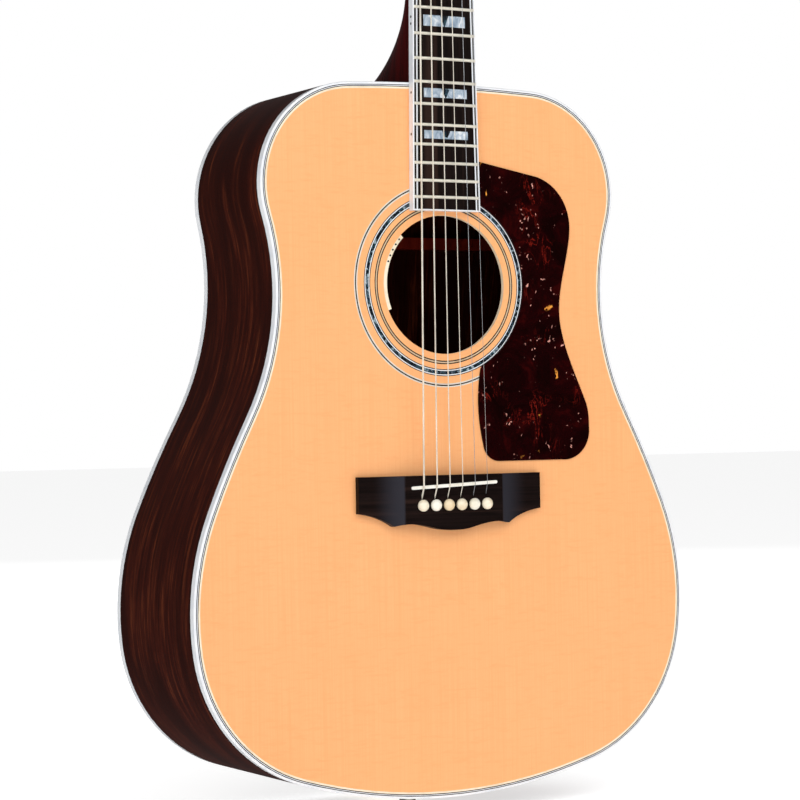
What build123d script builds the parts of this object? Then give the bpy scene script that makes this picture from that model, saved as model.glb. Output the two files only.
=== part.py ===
from build123d import *
from math import asin, atan2, copysign, cos, degrees, radians, sin, sqrt
import os

# Steel-string acoustic guitar, millimetres.
# +Z runs up the neck, +X is the treble side, and the soundboard faces -Y.
# The origin is on the endpin's axis, where it meets the tail of the body.

os.makedirs("parts", exist_ok=True)

# ---------------------------------------------------------------- driving dimensions
SCALE = 650.875            # nut to the theoretical saddle line, 25 5/8 inches
JOINT_Z = 528.0            # body end of the neck, at fret 14
FRONT = 70.0               # the soundboard's face lies at y = -FRONT
FRETS = 20
BACK_DEPTH = 146.7         # soundboard face to the back at the tail
BACK_RADIUS = 3300.0       # the domed back is part of a sphere
GLUE = 0.02                # hairline between neighbouring strips
EASE = 0.05                # clearance all round a part that is pushed into a hole
WIDE = 500.0               # wider than the body
MARGIN = 30.0              # by which a cutting shape passes the body's two ends

# half outline from the tail to the neck: radius (minus = waist) and turn in degrees
OUTLINE = [(425.0, 17.0), (117.0, 65.0), (195.0, 30.0), (724.2, 6.0), (-193.0, 44.5), (76.0, 103.5)]
CLOSING_TURN = 180.0 - sum(copysign(turn, radius) for radius, turn in OUTLINE)

TOP_THICKNESS = 3.2
BACK_THICKNESS = 3.0
SIDE_THICKNESS = 2.5
BINDING_WIDTH = 1.8
BINDING_HEIGHT = 6.0
BINDING_ROUND = 0.9        # rounding of the body's front edge
SIDE_LINE = 0.8            # black line on the side beside the binding
PURFLING_DEPTH = 1.8
TOP_LINES = [0.6, 0.5, 0.6, 1.4]       # black, white, black, cream
BACK_LINES = [0.6, 0.6, 0.6]           # black, white, black
LINING_WIDTH = 6.0
LINING_HEIGHT = 13.0
BLOCK_HALF_WIDTH = 37.5

HOLE_Z = 378.9
HOLE_RADIUS = 51.3
ROSETTE_DEPTH = 1.2
# inner radius of each ring and the widths of its strips
ROSETTE = [(56.3, [0.8, 1.0, 0.8]), (62.6, [0.6, 0.7, 2.6, 0.7, 0.6]), (73.2, [0.9, 1.0, 0.9])]

NUT_Z = JOINT_Z + SCALE * (1 - 2 ** (-14 / 12))
NUT_LENGTH = 5.0
NUT_WIDTH = 43.0
JOINT_WIDTH = 54.3
BOARD_END_Z = 433.0
BOARD_HEIGHT = 6.8         # at the centre line
BOARD_RADIUS = 406.4       # 16 inch camber
BOARD_STRIPS = [1.1, 1.6, 1.2]         # white binding, black line, white line
FRET_HEIGHT = 1.1
FRET_WIDTH = 2.2
INLAY_FRETS = [1, 3, 5, 7, 9, 12, 15, 17]
INLAY_DEPTH = 1.2

BRIDGE_HALF = 77.5
BRIDGE_TOP_Z = 238.2
BRIDGE_HEIGHT = 9.5
WING_HEIGHT = 4.5
SADDLE_Z = 230.8
SADDLE_LENGTH = 73.0
SADDLE_WIDTH = 2.4
SADDLE_RISE = 3.0          # the treble end is this much nearer the nut
PIN_Z = 216.4
PIN_SPACING = 10.9
PIN_HEAD_RADIUS = 4.3
PIN_RADIUS = 2.6
NUT_SPACING = 7.2
STRING_GAUGES = [1.35, 1.07, 0.81, 0.61, 0.41, 0.30]   # bass to treble, diameters

HEAD_ANGLE = 14.0
HEAD_LENGTH = 186.0
HEAD_THICKNESS = 13.0
VENEER = 2.0
POST_ROWS = [46.0, 90.0, 134.0]        # along the headstock from the nut
POST_X = [23.0, 24.5, 26.0]            # from the headstock's centre line
POST_RADIUS = 3.0
GEAR_RATIO = 18
MIDDLE_STRING = 2.5        # the centre line, when the strings are numbered from 0


def level(depth):
    """Plane parallel to the soundboard, a depth behind its face, seen from the front."""
    return Plane.XZ.offset(FRONT - depth)


def fret_z(number):
    return NUT_Z - SCALE * (1 - 2 ** (-number / 12))


def board_half_width(z):
    """Half width of the fingerboard at a height."""
    return (NUT_WIDTH + (NUT_Z - z) * (JOINT_WIDTH - NUT_WIDTH) / (NUT_Z - JOINT_Z)) / 2


def string_x(number, z):
    """Place across of a string, 0 for the lowest, between the nut and the saddle."""
    share = (NUT_Z - z) / (NUT_Z - SADDLE_Z)
    spacing = NUT_SPACING + share * (PIN_SPACING - NUT_SPACING)
    return (number - MIDDLE_STRING) * spacing


# ---------------------------------------------------------------- shared outlines
DOME_SPAN = (-60.0, 270.0, 600.0)      # heights of the sphere's low edge, middle and high edge
DOME_HALF_TURN = 7.0                   # degrees that it reaches to each side
DOME_ROOM = 250.0                      # thickness of the space in front of it


def body_face(inset):
    """Outline of the body moved in by a distance, in its own flat plane."""
    with BuildSketch() as sketch:
        with BuildLine():
            end, heading = Vector(0, inset), Vector(1, 0)
            for radius, turn in OUTLINE:
                size = abs(radius) - copysign(inset, radius)
                arc = JernArc(end, heading, size, copysign(turn, radius))
                end, heading = arc @ 1, arc % 1
            JernArc(end, heading, end.X / sin(radians(CLOSING_TURN)), CLOSING_TURN)
            mirror(about=Plane.YZ)
        make_face()
    return sketch.sketch


def body_ring(outer, inner):
    """Band between two insets of the body's outline."""
    with BuildSketch() as sketch:
        add(body_face(outer))
        add(body_face(inner), mode=Mode.SUBTRACT)
    return sketch.sketch


def dome(shift):
    """Space bounded by a sphere that lies a distance in front of the back's outside."""
    centre_y = BACK_DEPTH - FRONT - BACK_RADIUS - shift
    half = radians(DOME_HALF_TURN)
    outward = (sin(half), cos(half), 0)
    low, middle, high = [(sqrt(BACK_RADIUS ** 2 - z ** 2), z) for z in DOME_SPAN]
    inner = BACK_RADIUS - DOME_ROOM
    with BuildPart() as space:
        with BuildSketch(Plane(origin=(0, centre_y, 0), x_dir=outward,
                               z_dir=(cos(half), -sin(half), 0))):
            with BuildLine():
                ThreePointArc(low, middle, high)
                Polyline(high, (inner, high[1]), (inner, low[1]), low)
            make_face()
        revolve(axis=Axis((0, centre_y, 0), (0, 0, 1)), revolution_arc=2 * degrees(half))
    return space.part


def slab(face, start, end):
    """Solid made of a flat outline between two depths behind the soundboard's face."""
    with BuildPart() as body:
        with BuildSketch(level(start)):
            add(face)
        extrude(amount=start - end)
    return body.part


def strips(start, widths):
    """Inner and outer measure of each strip of an inlaid line, with a hairline between."""
    bands = []
    for width in widths:
        bands.append((start + GLUE / 2, start + width - GLUE / 2))
        start += width
    return bands


def save(piece, label):
    piece.label = label
    export_step(piece, f"parts/{label}.step")


def outside(inset):
    """Everything near the body that lies beyond an inset of its outline."""
    with BuildSketch() as sketch:
        with Locations((0, JOINT_Z / 2)):
            Rectangle(WIDE, JOINT_Z + 2 * MARGIN)
        add(body_face(inset), mode=Mode.SUBTRACT)
    return sketch.sketch


PURFLING_END = BINDING_WIDTH + sum(TOP_LINES)
BACK_PURFLING_END = BINDING_WIDTH + sum(BACK_LINES)
DEEP = 160.0               # behind every part of the back
MIDDLE = 60.0              # in front of every part of the back
SIDE_START = BINDING_HEIGHT + SIDE_LINE

# room for the binding and line on the side's two edges
with BuildPart() as edge_channels:
    add(slab(outside(BINDING_WIDTH), MIDDLE, DEEP))
    add(dome(SIDE_START), mode=Mode.SUBTRACT)
    add(slab(outside(BINDING_WIDTH), -1, SIDE_START))

# room for the back's purfling
with BuildPart() as back_channel:
    add(slab(outside(BACK_PURFLING_END), MIDDLE, DEEP))
    add(dome(PURFLING_DEPTH), mode=Mode.SUBTRACT)

# the neck's dovetail and its room in the block, sides and binding
TENON_NECK, TENON_END = 9.0, 13.0      # dovetail half widths at the heel and at its far end
TENON_LENGTH = 19.0
TENON_DEPTH = 92.0

with BuildSketch() as tenon_shape:
    with BuildLine():
        Polyline((-TENON_NECK, JOINT_Z + 1), (TENON_NECK, JOINT_Z + 1), (TENON_NECK, JOINT_Z),
                 (TENON_END, JOINT_Z - TENON_LENGTH), (-TENON_END, JOINT_Z - TENON_LENGTH),
                 (-TENON_NECK, JOINT_Z), close=True)
    make_face()

mortise_shape = offset(tenon_shape.sketch, amount=EASE)
with BuildPart() as mortise:
    with BuildSketch(level(TOP_THICKNESS)):
        add(mortise_shape)
    extrude(amount=TOP_THICKNESS - TENON_DEPTH - 2 * EASE)

# ---------------------------------------------------------------- soundboard and its inlays
TOP_PIN_HOLE = PIN_RADIUS + 0.3
SLOT_Z = PIN_Z + PIN_RADIUS + 0.5      # middle of the slot beside each pin
TOP_SLOT, PLATE_SLOT = (1.9, 3.6), (1.9, 3.4)

with BuildPart() as soundboard:
    with BuildSketch(level(0)):
        add(body_face(PURFLING_END))
    extrude(amount=-PURFLING_DEPTH)
    with BuildSketch(level(PURFLING_DEPTH)):
        add(body_face(BINDING_WIDTH))
    extrude(amount=PURFLING_DEPTH - TOP_THICKNESS)
    with BuildSketch(level(0)):
        with Locations((0, HOLE_Z)):
            Circle(HOLE_RADIUS)
        with Locations((0, PIN_Z)):
            with GridLocations(PIN_SPACING, 0, 6, 1):
                Circle(TOP_PIN_HOLE)
        with Locations((0, SLOT_Z)):
            with GridLocations(PIN_SPACING, 0, 6, 1):
                Rectangle(*TOP_SLOT)
    extrude(amount=-TOP_THICKNESS, mode=Mode.SUBTRACT)
    with BuildSketch(level(0)):
        with Locations((0, HOLE_Z)):
            for start, widths in reversed(ROSETTE):
                Circle(start + sum(widths))
                Circle(start, mode=Mode.SUBTRACT)
    extrude(amount=-ROSETTE_DEPTH, mode=Mode.SUBTRACT)
save(soundboard.part, "soundboard")

with BuildPart() as rosette:
    for start, widths in ROSETTE:
        for inner, outer in strips(start, widths):
            with BuildSketch(level(0)):
                with Locations((0, HOLE_Z)):
                    Circle(outer)
                    Circle(inner, mode=Mode.SUBTRACT)
            extrude(amount=-ROSETTE_DEPTH)
save(rosette.part, "rosette")

with BuildPart() as top_purfling:
    for outer, inner in strips(BINDING_WIDTH, TOP_LINES):
        with BuildSketch(level(0)):
            add(body_ring(outer, inner))
        extrude(amount=-PURFLING_DEPTH)
save(top_purfling.part, "top_purfling")

with BuildPart() as top_binding:
    with BuildSketch(level(0)):
        add(body_ring(0, BINDING_WIDTH))
    extrude(amount=-BINDING_HEIGHT)
    fillet(top_binding.faces().sort_by(Axis.Y)[0].outer_wire().edges(), BINDING_ROUND)
    add(mortise.part, mode=Mode.SUBTRACT)
save(top_binding.part, "top_binding")

# ---------------------------------------------------------------- back
BACK_STRIP = 4.0           # width of the inlaid centre strip
for name, side in (("back_bass_half", -1), ("back_treble_half", 1)):
    with BuildPart() as back_half:
        with BuildSketch(level(MIDDLE)):
            add(body_face(BINDING_WIDTH))
            with Locations((side * (WIDE + BACK_STRIP) / 2, JOINT_Z / 2)):
                Rectangle(WIDE, JOINT_Z + 2 * MARGIN, mode=Mode.INTERSECT)
        extrude(amount=MIDDLE - DEEP)
        add(dome(0), mode=Mode.INTERSECT)
        add(dome(BACK_THICKNESS), mode=Mode.SUBTRACT)
        add(back_channel.part, mode=Mode.SUBTRACT)
    save(back_half.part, name)

with BuildPart() as back_center_strip:
    with BuildSketch(level(MIDDLE)):
        add(body_face(BACK_PURFLING_END))
        with Locations((0, JOINT_Z / 2)):
            Rectangle(BACK_STRIP - GLUE, JOINT_Z + 2 * MARGIN, mode=Mode.INTERSECT)
    extrude(amount=MIDDLE - DEEP)
    add(dome(0), mode=Mode.INTERSECT)
    add(dome(BACK_THICKNESS), mode=Mode.SUBTRACT)
save(back_center_strip.part, "back_center_strip")

with BuildPart() as back_binding:
    add(slab(body_ring(0, BINDING_WIDTH), MIDDLE, DEEP))
    add(dome(0), mode=Mode.INTERSECT)
    add(dome(BINDING_HEIGHT), mode=Mode.SUBTRACT)
save(back_binding.part, "back_binding")

# the back's purfling lies under its face, and one black line runs beside each side binding
with BuildPart() as back_lines:
    for outer, inner in strips(BINDING_WIDTH, BACK_LINES):
        add(slab(body_ring(outer, inner), MIDDLE, DEEP))
    add(dome(0), mode=Mode.INTERSECT)
    add(dome(PURFLING_DEPTH), mode=Mode.SUBTRACT)
with BuildPart() as back_side_line:
    add(slab(body_ring(0, BINDING_WIDTH), MIDDLE, DEEP))
    add(dome(BINDING_HEIGHT + GLUE), mode=Mode.INTERSECT)
    add(dome(SIDE_START), mode=Mode.SUBTRACT)
with BuildPart() as back_and_side_purfling:
    add(back_lines.part)
    add(back_side_line.part)
    add(slab(body_ring(0, BINDING_WIDTH), BINDING_HEIGHT + GLUE, SIDE_START))
    add(mortise.part, mode=Mode.SUBTRACT)
save(back_and_side_purfling.part, "back_and_side_purfling")

# ---------------------------------------------------------------- sides, blocks and linings
JACK_RADIUS = 6.0
JACK_HOLE_LENGTH = 40.0
WEDGE_TOP, WEDGE_BOTTOM = 7.0, 12.0    # half widths at the soundboard and at the back
WEDGE_HEIGHT = 20.0
BLOCK_ROOM = 60.0                      # gap in the linings at each block
NECK_BLOCK_HEIGHT, TAIL_BLOCK_HEIGHT = 60.0, 22.0

with BuildSketch(Plane.XY) as wedge_shape:
    with BuildLine():
        Polyline((-WEDGE_TOP, -FRONT), (WEDGE_TOP, -FRONT), (WEDGE_BOTTOM, DEEP - FRONT),
                 (-WEDGE_BOTTOM, DEEP - FRONT), close=True)
    make_face()

with BuildPart() as jack_hole:
    with BuildSketch(Plane.XY.offset(-MARGIN)):
        Circle(JACK_RADIUS + EASE)
    extrude(amount=MARGIN + JACK_HOLE_LENGTH)

with BuildPart() as rim:
    add(slab(body_ring(0, SIDE_THICKNESS), TOP_THICKNESS, DEEP))
    add(dome(BACK_THICKNESS), mode=Mode.INTERSECT)
    add(edge_channels.part, mode=Mode.SUBTRACT)
    add(mortise.part, mode=Mode.SUBTRACT)
    add(jack_hole.part, mode=Mode.SUBTRACT)

for name, side in (("bass_side", -1), ("treble_side", 1)):
    with BuildPart() as half_rim:
        add(rim.part)
        split(bisect_by=Plane.YZ, keep=Keep.TOP if side > 0 else Keep.BOTTOM)
        with BuildSketch(Plane.XY.offset(-1)):
            add(wedge_shape.sketch)
        extrude(amount=WEDGE_HEIGHT, mode=Mode.SUBTRACT)
    save(half_rim.part, name)

wedge_fit = offset(wedge_shape.sketch, amount=-GLUE / 2)
with BuildPart() as tail_wedge:
    with BuildSketch(Plane.XY.offset(-1)):
        add(wedge_fit)
    extrude(amount=WEDGE_HEIGHT)
    add(rim.part, mode=Mode.INTERSECT)
save(tail_wedge.part, "tail_wedge")

with BuildPart() as linings:
    add(slab(body_ring(SIDE_THICKNESS, SIDE_THICKNESS + LINING_WIDTH), TOP_THICKNESS,
             TOP_THICKNESS + LINING_HEIGHT))
    with BuildPart(mode=Mode.PRIVATE) as back_lining:
        add(slab(body_ring(SIDE_THICKNESS, SIDE_THICKNESS + LINING_WIDTH), MIDDLE, DEEP))
        add(dome(BACK_THICKNESS), mode=Mode.INTERSECT)
        add(dome(BACK_THICKNESS + LINING_HEIGHT), mode=Mode.SUBTRACT)
    add(back_lining.part)
    with Locations((0, 0, 0), (0, 0, JOINT_Z)):
        Box(2 * (BLOCK_HALF_WIDTH + EASE), 2 * DEEP, BLOCK_ROOM, mode=Mode.SUBTRACT)
save(linings.part, "linings")

with BuildPart() as neck_block:
    with BuildSketch(level(TOP_THICKNESS)):
        add(body_face(SIDE_THICKNESS))
        with Locations((0, JOINT_Z)):
            Rectangle(2 * BLOCK_HALF_WIDTH, 2 * NECK_BLOCK_HEIGHT, mode=Mode.INTERSECT)
    extrude(amount=TOP_THICKNESS - DEEP)
    add(dome(BACK_THICKNESS), mode=Mode.INTERSECT)
    add(mortise.part, mode=Mode.SUBTRACT)
save(neck_block.part, "neck_block")

with BuildPart() as tail_block:
    with BuildSketch(level(TOP_THICKNESS)):
        add(body_face(SIDE_THICKNESS))
        Rectangle(2 * BLOCK_HALF_WIDTH, 2 * TAIL_BLOCK_HEIGHT, mode=Mode.INTERSECT)
    extrude(amount=TOP_THICKNESS - DEEP)
    add(dome(BACK_THICKNESS), mode=Mode.INTERSECT)
    add(jack_hole.part, mode=Mode.SUBTRACT)
save(tail_block.part, "tail_block")

# ---------------------------------------------------------------- bracing
BRACE_WIDTH = 8.0
BRACE_END = 4.0            # height of a brace at its two ends
KNEE_PLACE, KNEE_HEIGHT = 0.6, 0.75    # shares of the reach and of the height at each knee
# middle, angle, reach to each side, width, height and, where it differs, height of the ends
UPPER_BRACE = ((0, 448), 0, (134, 134), 12, 15)
TONE_BRACES = [((22, 156), 23.6, (88, 88), 7, 12), ((70, 105), 23.6, (82, 82), 7, 11)]
FINGER_BRACES = [((95, 283), 49, (33, 33), 6, 8, 3), ((133, 240), 49, (26, 20), 6, 7, 3)]


def brace(middle, angle, lengths, width, height, low_end=BRACE_END):
    """Tapered bar under the soundboard, along an angle from +X, with its peak at a point."""
    x, z = middle
    along = Vector(cos(radians(angle)), 0, sin(radians(angle)))
    across = Vector(-along.Z, 0, along.X)
    plane = Plane(origin=(x, TOP_THICKNESS - FRONT, z), x_dir=along, z_dir=across)
    rise = 1 if plane.y_dir.Y > 0 else -1
    before, after = lengths
    with BuildPart() as bar:
        with BuildSketch(plane):
            with BuildLine():
                Polyline((-before, 0), (-before, rise * low_end),
                         (-before * KNEE_PLACE, rise * height * KNEE_HEIGHT), (0, rise * height),
                         (after * KNEE_PLACE, rise * height * KNEE_HEIGHT), (after, rise * low_end),
                         (after, 0), close=True)
            make_face()
        extrude(amount=width / 2, both=True)
    return bar.part


X_CENTRE = (0, 300)
X_ANGLE = 41.0
X_HEIGHT = 15.0
X_LENGTHS = (245, 165)
NOTCH_DEPTH = TOP_THICKNESS + X_HEIGHT / 2
CROSSING_REACH = 60.0

with BuildSketch() as crossing:
    with Locations(Location((*X_CENTRE, 0), (0, 0, X_ANGLE))):
        Rectangle(CROSSING_REACH, BRACE_WIDTH + 2 * GLUE)
    with Locations(Location((*X_CENTRE, 0), (0, 0, 180 - X_ANGLE))):
        Rectangle(CROSSING_REACH, BRACE_WIDTH + 2 * GLUE, mode=Mode.INTERSECT)

# the two long braces are half-lapped where they cross
with BuildPart() as lower_leg:
    add(brace(X_CENTRE, 180 - X_ANGLE, X_LENGTHS, BRACE_WIDTH, X_HEIGHT))
    add(slab(crossing.sketch, NOTCH_DEPTH - GLUE, TOP_THICKNESS + 2 * X_HEIGHT), mode=Mode.SUBTRACT)
with BuildPart() as x_braces:
    add(brace(X_CENTRE, X_ANGLE, X_LENGTHS, BRACE_WIDTH, X_HEIGHT))
    add(slab(crossing.sketch, 0, NOTCH_DEPTH), mode=Mode.SUBTRACT)
    add(lower_leg.part)
save(x_braces.part, "x_braces")

with BuildPart() as upper_transverse_brace:
    add(brace(*UPPER_BRACE))
save(upper_transverse_brace.part, "upper_transverse_brace")

with BuildPart() as tone_and_finger_braces:
    for measures in TONE_BRACES:
        add(brace(*measures))
    for side in (-1, 1):
        for (x, z), lean, *sizes in FINGER_BRACES:
            add(brace((side * x, z), 90 - side * lean, *sizes))
save(tone_and_finger_braces.part, "tone_and_finger_braces")

PLATE_THICKNESS = 2.5
PLATE_HIGH, PLATE_LOW = (61, 240), (95, 203)       # its two corners on the treble side
with BuildPart() as bridge_plate:
    with BuildSketch(level(TOP_THICKNESS)):
        with BuildLine():
            Line((0, PLATE_HIGH[1]), PLATE_HIGH)
            Polyline(PLATE_HIGH, PLATE_LOW, (0, PLATE_LOW[1]))
            mirror(about=Plane.YZ)
        make_face()
        with Locations((0, PIN_Z)):
            with GridLocations(PIN_SPACING, 0, 6, 1):
                Circle(PIN_RADIUS + 2 * EASE, mode=Mode.SUBTRACT)
        with Locations((0, SLOT_Z)):
            with GridLocations(PIN_SPACING, 0, 6, 1):
                Rectangle(*PLATE_SLOT, mode=Mode.SUBTRACT)
    extrude(amount=-PLATE_THICKNESS)
save(bridge_plate.part, "bridge_plate")

BACK_BARS = [100, 205, 305, 417]
BAR_WIDTH = 9.0
BAR_HEIGHT = 14.0
SEAM_HALF = 8.0
SEAM_THICKNESS = 2.0
SEAM_START, SEAM_END = 25, 466
with BuildPart() as back_braces:
    with BuildSketch(level(MIDDLE)):
        add(body_face(SIDE_THICKNESS + LINING_WIDTH + 1))
        with Locations(*[(0, z) for z in BACK_BARS]):
            Rectangle(WIDE, BAR_WIDTH, mode=Mode.INTERSECT)
    extrude(amount=MIDDLE - DEEP)
    add(dome(BACK_THICKNESS), mode=Mode.INTERSECT)
    add(dome(BACK_THICKNESS + BAR_HEIGHT), mode=Mode.SUBTRACT)
ends = [SEAM_START, *BACK_BARS, SEAM_END]
with BuildPart() as seam_strips:
    for low, high in zip(ends[:-1], ends[1:]):
        gap = BAR_WIDTH / 2 + GLUE
        with BuildSketch(level(MIDDLE)):
            with Locations((0, (low + high) / 2)):
                Rectangle(2 * SEAM_HALF, high - low - 2 * gap)
        extrude(amount=MIDDLE - DEEP)
    add(dome(BACK_THICKNESS), mode=Mode.INTERSECT)
    add(dome(BACK_THICKNESS + SEAM_THICKNESS), mode=Mode.SUBTRACT)
with BuildPart() as back_bracing:
    add(back_braces.part)
    add(seam_strips.part)
save(back_bracing.part, "back_braces")

# ---------------------------------------------------------------- pickguard
GUARD_ARC = 67.5           # its inner edge runs round the soundhole
GUARD_LEFT = 30.0
GUARD_THICKNESS = 1.0
# its outline: top corner, round shoulder, waisted outer edge, two round corners and inner edge
GUARD_TOP = (28.6, 471.4)
GUARD_SHOULDER = [(78, 461.8), (99, 451), (110.2, 424)]
GUARD_EDGE = [(107.9, 406), (102.7, 383.5), (99.6, 362), (106.1, 328.8), (121.6, 292.2)]
GUARD_FOOT = [(124.8, 272), (118, 253.5), (100, 247.4)]
GUARD_HEEL = [(46, 247.4), (36, 250.5), (31, 260)]
GUARD_INSIDE = (27.2, 286)
DOWNWARD = (0, -1)
guard_drop = sqrt(GUARD_ARC ** 2 - GUARD_LEFT ** 2)
low_tip, high_tip = (GUARD_LEFT, HOLE_Z - guard_drop), (GUARD_LEFT, HOLE_Z + guard_drop)
with BuildPart() as pickguard:
    with BuildSketch(level(-GLUE)):
        with BuildLine():
            Line(GUARD_TOP, GUARD_SHOULDER[0])
            ThreePointArc(*GUARD_SHOULDER)
            Spline(GUARD_SHOULDER[-1], *GUARD_EDGE, GUARD_FOOT[0], tangents=(DOWNWARD, DOWNWARD))
            ThreePointArc(*GUARD_FOOT)
            Line(GUARD_FOOT[-1], GUARD_HEEL[0])
            ThreePointArc(*GUARD_HEEL)
            ThreePointArc(GUARD_HEEL[-1], GUARD_INSIDE, low_tip)
            ThreePointArc(low_tip, (GUARD_ARC, HOLE_Z), high_tip)
            Line(high_tip, GUARD_TOP)
        make_face()
    extrude(amount=GUARD_THICKNESS)
save(pickguard.part, "pickguard")

# ---------------------------------------------------------------- bridge, saddle and pickup
PICKUP_LOW, PICKUP_HIGH = 2.0, 3.2     # heights above the soundboard
saddle_angle = degrees(atan2(SADDLE_RISE, SADDLE_LENGTH))
# its lower edge: end of the wing, a hollow, a small horn and a round belly
WING_END_Z = 211.5
HOLLOW = (62.0, 208.0)
HORN = (49.0, 201.5)
BELLY = [(36.0, 203.0), (18.0, 200.0), (0.0, 197.7)]
WING_START, SLOPE_MIDDLE, SLOPE_END = 60.0, (49.0, 1.6), 41.0     # the wing's rise to full height
BRIDGE_CUT = (180.0, 80.0)             # place and length of the cut that shapes the wings
SLOT_MOUTH, SLOT_SILL, SLOT_RAMP = 2.2, 7.0, 8.5
SLOT_EASE = 0.15

with BuildPart() as bridge:
    with BuildSketch(level(0)):
        with BuildLine():
            Line((0, BRIDGE_TOP_Z), (BRIDGE_HALF, BRIDGE_TOP_Z))
            Line((BRIDGE_HALF, BRIDGE_TOP_Z), (BRIDGE_HALF, WING_END_Z))
            ThreePointArc((BRIDGE_HALF, WING_END_Z), HOLLOW, HORN)
            Spline(HORN, *BELLY, tangents=((-1, 0.25), (-1, 0)))
            mirror(about=Plane.YZ)
        make_face()
    extrude(amount=BRIDGE_HEIGHT)
    wing_y, top_y = -FRONT - WING_HEIGHT, -FRONT - BRIDGE_HEIGHT
    with BuildSketch(Plane.XY.offset(BRIDGE_CUT[0])):
        with BuildLine():
            Polyline((0, -FRONT), (BRIDGE_HALF + 1, -FRONT), (BRIDGE_HALF + 1, wing_y),
                     (WING_START, wing_y))
            ThreePointArc((WING_START, wing_y), (SLOPE_MIDDLE[0], wing_y - SLOPE_MIDDLE[1]),
                          (SLOPE_END, top_y))
            Line((SLOPE_END, top_y), (0, top_y))
            mirror(about=Plane.YZ)
        make_face()
    extrude(amount=BRIDGE_CUT[1], mode=Mode.INTERSECT)
    with BuildSketch(level(-PICKUP_LOW)):
        with Locations(Location((0, SADDLE_Z, 0), (0, 0, saddle_angle))):
            SlotOverall(SADDLE_LENGTH + 2 * GLUE, SADDLE_WIDTH + 2 * GLUE)
    extrude(amount=2 * BRIDGE_HEIGHT, mode=Mode.SUBTRACT)
    with BuildSketch(level(0)):
        with Locations((0, PIN_Z)):
            with GridLocations(PIN_SPACING, 0, 6, 1):
                Circle(PIN_RADIUS + 2 * EASE)
    extrude(amount=BRIDGE_HEIGHT, mode=Mode.SUBTRACT)
    # each hole has a ramped slot for its string on the saddle's side
    for number, gauge in enumerate(STRING_GAUGES):
        x = (number - MIDDLE_STRING) * PIN_SPACING
        with BuildSketch(Plane.YZ.offset(x)):
            with BuildLine():
                mouth_z = PIN_Z + PIN_RADIUS + SLOT_MOUTH
                Polyline((1 - FRONT, PIN_Z), (1 - FRONT, mouth_z), (-FRONT - SLOT_SILL, mouth_z),
                         (top_y - 1, PIN_Z + PIN_RADIUS + SLOT_RAMP), (top_y - 1, PIN_Z), close=True)
            make_face()
        extrude(amount=gauge / 2 + SLOT_EASE, both=True, mode=Mode.SUBTRACT)
save(bridge.part, "bridge")

with BuildPart() as undersaddle_pickup:
    with BuildSketch(level(-PICKUP_LOW)):
        with Locations(Location((0, SADDLE_Z, 0), (0, 0, saddle_angle))):
            SlotOverall(SADDLE_LENGTH, SADDLE_WIDTH)
    extrude(amount=PICKUP_HIGH - PICKUP_LOW)
save(undersaddle_pickup.part, "undersaddle_pickup")

SADDLE_HEIGHT = 12.0       # top of the saddle at the centre, above the soundboard
with BuildPart() as saddle:
    with BuildSketch(level(-PICKUP_HIGH)):
        with Locations(Location((0, SADDLE_Z, 0), (0, 0, saddle_angle))):
            SlotOverall(SADDLE_LENGTH, SADDLE_WIDTH)
    extrude(amount=SADDLE_HEIGHT)
    add(Pos(0, BOARD_RADIUS - FRONT - SADDLE_HEIGHT, SADDLE_Z) * Cylinder(BOARD_RADIUS, 60),
        mode=Mode.INTERSECT)
save(saddle.part, "saddle")

# bridge pins: domed head, collar and a tapering shaft
PIN_HEAD_LOW = BRIDGE_HEIGHT + 0.3
PIN_RIM = PIN_HEAD_LOW + 1.8
PIN_DOME = 2.9             # height of the rounded top above its rim
PIN_TIP = -14.0            # height of the tip, inside the body
dome_radius = (PIN_HEAD_RADIUS ** 2 + PIN_DOME ** 2) / (2 * PIN_DOME)
half_way = asin(PIN_HEAD_RADIUS / dome_radius) / 2
dome_middle = (dome_radius * sin(half_way), -PIN_RIM - PIN_DOME + dome_radius * (1 - cos(half_way)))
for number in range(6):
    x = (number - MIDDLE_STRING) * PIN_SPACING
    with BuildPart() as pin:
        with BuildSketch(Plane(origin=(x, -FRONT, PIN_Z), x_dir=(1, 0, 0), z_dir=(0, 0, 1))):
            with BuildLine():
                Polyline((0, -PIN_TIP), (1.2, -PIN_TIP), (2.0, -PIN_TIP - 1.2),
                         (PIN_RADIUS, -BRIDGE_HEIGHT), (PIN_RADIUS, -PIN_HEAD_LOW),
                         (PIN_HEAD_RADIUS - 0.3, -PIN_HEAD_LOW), (PIN_HEAD_RADIUS, -PIN_HEAD_LOW - 0.4),
                         (PIN_HEAD_RADIUS, -PIN_RIM))
                ThreePointArc((PIN_HEAD_RADIUS, -PIN_RIM), dome_middle, (0, -PIN_RIM - PIN_DOME))
                Line((0, -PIN_RIM - PIN_DOME), (0, -PIN_TIP))
            make_face()
        revolve(axis=Axis((x, 0, PIN_Z), (0, 1, 0)))
    save(pin.part, f"bridge_pin_{number + 1}")

# ---------------------------------------------------------------- fingerboard
board_axis_y = BOARD_RADIUS - FRONT - BOARD_HEIGHT
LINE_FLOOR = 4.0           # bottom of the inlaid lines, above the soundboard
STRIP_TOTAL = sum(BOARD_STRIPS)
camber = Pos(0, board_axis_y, (BOARD_END_Z + NUT_Z) / 2) * Cylinder(BOARD_RADIUS, 600)


def board_face(inset, end_inset=None):
    """Plan of the fingerboard moved in at its sides, and as much or otherwise at its low end."""
    low = BOARD_END_Z + (inset if end_inset is None else end_inset)
    with BuildSketch() as sketch:
        with BuildLine():
            Polyline((board_half_width(low) - inset, low), (board_half_width(NUT_Z) - inset, NUT_Z),
                     (inset - board_half_width(NUT_Z), NUT_Z), (inset - board_half_width(low), low),
                     close=True)
        make_face()
    return sketch.sketch


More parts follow.
